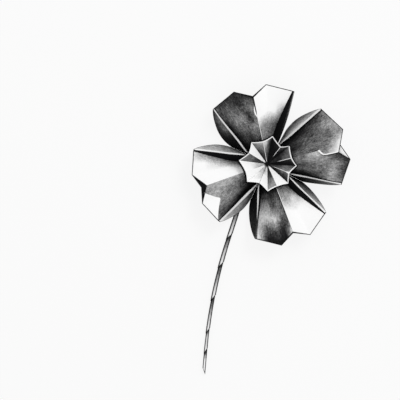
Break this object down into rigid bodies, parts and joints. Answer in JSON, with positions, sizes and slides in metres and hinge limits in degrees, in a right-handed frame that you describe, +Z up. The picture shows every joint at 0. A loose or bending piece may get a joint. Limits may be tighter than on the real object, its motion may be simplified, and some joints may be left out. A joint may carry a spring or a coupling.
{
  "type": "folded paper flower",
  "caption": "Folded paper flower lying face up: notched petals round a pleated star cup, on a wire stem wrapped with a lapped paper strip.",
  "frame": {"origin": "bottom centre of the flower's box, on the surface it lies on", "axes": "+Z up, out of the face of the flower; +Y from the stem's free end towards the head; +X to the right of the head"},
  "size_m": [0.1, 0.184, 0.0202],
  "materials": {
    "petal_paper": "white paper shaded by hand in graphite, white along its folds and cut edges",
    "star_paper": "white paper shaded by hand in graphite, dark on the pleats that face away from the light",
    "hub_paper": "rolled paper, matt",
    "stem_wire": "plain drawn wire",
    "stem_paper": "pale paper strip, darker in its laps"
  },
  "bodies": {
    "root": {"petal_top": "petal_paper", "petal_right": "petal_paper", "petal_bottom": "petal_paper", "petal_left": "petal_paper", "centre_star": "star_paper", "hub_roll": "hub_paper", "stem_wire": "stem_wire", "stem_wrap": "stem_paper"}
  },
  "joints": []
}
